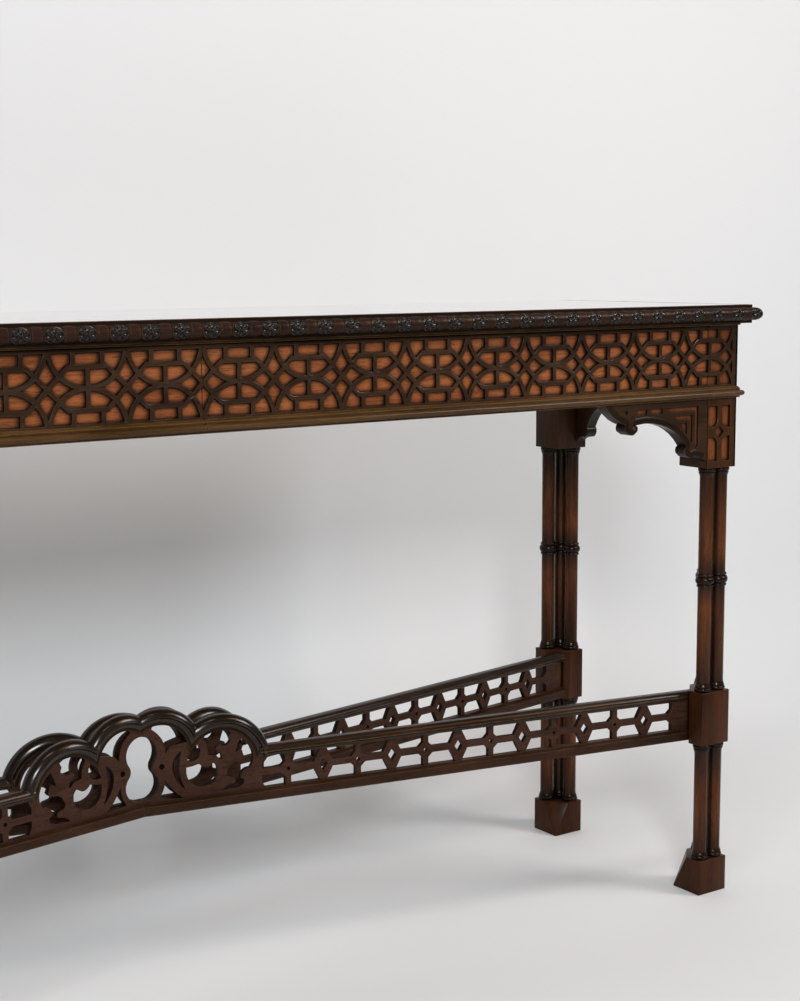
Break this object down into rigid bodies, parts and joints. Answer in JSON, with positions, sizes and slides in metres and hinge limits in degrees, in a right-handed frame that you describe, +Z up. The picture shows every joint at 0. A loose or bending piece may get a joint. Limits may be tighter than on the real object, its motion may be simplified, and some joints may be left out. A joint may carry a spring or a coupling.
{
  "type": "pier table",
  "caption": "Long narrow side table with two fretted frieze drawers, clustered turned-column legs, shaped brackets and a pierced X stretcher.",
  "frame": {"origin": "on the floor, in the middle of the overall width and depth", "axes": "+X to the right seen from the front, +Y to the back, +Z up; the drawers open along -Y"},
  "size_m": [1.7752, 0.4258, 0.865],
  "materials": {
    "figured_mahogany": "polished",
    "carved_mahogany": "polished",
    "fretted_mahogany": "polished",
    "turned_mahogany": "polished",
    "pierced_mahogany": "polished",
    "drawer_lining_oak": "oiled"
  },
  "bodies": {
    "root": {"back_rail": "drawer_lining_oak", "bearer_rail": "drawer_lining_oak", "bracket_front_left": "fretted_mahogany", "bracket_front_right": "fretted_mahogany", "bracket_side_front_left": "fretted_mahogany", "bracket_side_front_right": "fretted_mahogany", "bracket_side_rear_left": "fretted_mahogany", "bracket_side_rear_right": "fretted_mahogany", "centre_partition": "drawer_lining_oak", "cock_beads": "carved_mahogany", "columns_front_left": "turned_mahogany", "columns_front_right": "turned_mahogany", "columns_rear_left": "turned_mahogany", "columns_rear_right": "turned_mahogany", "drawer_guides": "drawer_lining_oak", "drawer_kickers": "drawer_lining_oak", "drawer_runners": "drawer_lining_oak", "drawer_stops": "drawer_lining_oak", "foot_front_left": "turned_mahogany", "foot_front_right": "turned_mahogany", "foot_rear_left": "turned_mahogany", "foot_rear_right": "turned_mahogany", "frieze_moulding_left": "fretted_mahogany", "frieze_moulding_right": "fretted_mahogany", "glue_blocks": "drawer_lining_oak", "post_front_left": "fretted_mahogany", "post_front_right": "fretted_mahogany", "post_rear_left": "fretted_mahogany", "post_rear_right": "fretted_mahogany", "side_rail_left": "fretted_mahogany", "side_rail_right": "fretted_mahogany", "stretcher_block_front_left": "turned_mahogany", "stretcher_block_front_right": "turned_mahogany", "stretcher_block_rear_left": "turned_mahogany", "stretcher_block_rear_right": "turned_mahogany", "stretcher_front_left": "pierced_mahogany", "stretcher_front_right": "pierced_mahogany", "stretcher_rear_left": "pierced_mahogany", "stretcher_rear_right": "pierced_mahogany", "top_board": "figured_mahogany", "top_edge_front": "carved_mahogany", "top_edge_left": "carved_mahogany", "top_edge_right": "carved_mahogany", "top_rail": "drawer_lining_oak"},
    "drawer_left": {"drawer_left_back": "drawer_lining_oak", "drawer_left_bottom": "drawer_lining_oak", "drawer_left_front": "fretted_mahogany", "drawer_left_moulding": "fretted_mahogany", "drawer_left_side_inner": "drawer_lining_oak", "drawer_left_side_outer": "drawer_lining_oak"},
    "drawer_right": {"drawer_right_back": "drawer_lining_oak", "drawer_right_bottom": "drawer_lining_oak", "drawer_right_front": "fretted_mahogany", "drawer_right_moulding": "fretted_mahogany", "drawer_right_side_inner": "drawer_lining_oak", "drawer_right_side_outer": "drawer_lining_oak"}
  },
  "joints": [
    {"name": "drawer_left_slide", "type": "slide", "parent": "root", "child": "drawer_left", "axis": [0, -1, 0], "range_m": [0, 0.24]},
    {"name": "drawer_right_slide", "type": "slide", "parent": "root", "child": "drawer_right", "axis": [0, -1, 0], "range_m": [0, 0.24]}
  ]
}
